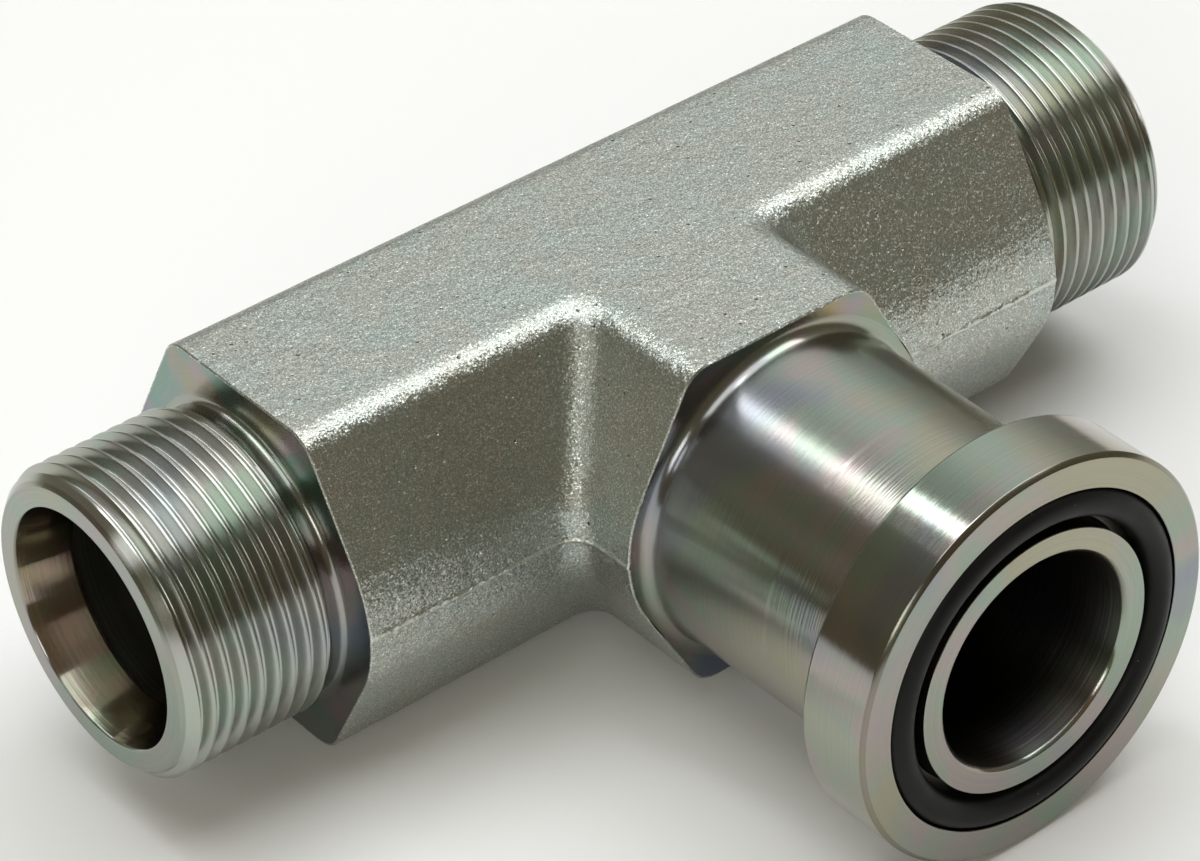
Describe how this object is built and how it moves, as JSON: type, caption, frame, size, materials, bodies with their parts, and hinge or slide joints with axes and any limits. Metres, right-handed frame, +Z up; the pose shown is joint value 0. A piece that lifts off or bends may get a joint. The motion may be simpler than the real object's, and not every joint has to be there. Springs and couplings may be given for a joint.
{
  "type": "flange tee fitting",
  "caption": "Forged hexagon-section tee fitting with threaded 24 degree cone ends on the run, a split-flange head on the branch and a face seal ring.",
  "frame": {"origin": "where the run axis meets the branch axis, at the centre of the run bore", "axes": "+X along the run towards one threaded end, -Y along the branch towards the flange face, +Z up out of the flat top of the forging"},
  "size_m": [0.139, 0.0912, 0.0474],
  "materials": {
    "steel": "zinc plated and passivated; forged skin blasted, ends turned bright",
    "seal_rubber": "satin black"
  },
  "bodies": {
    "root": {"tee_body": "steel", "seal_ring": "seal_rubber"}
  },
  "joints": []
}
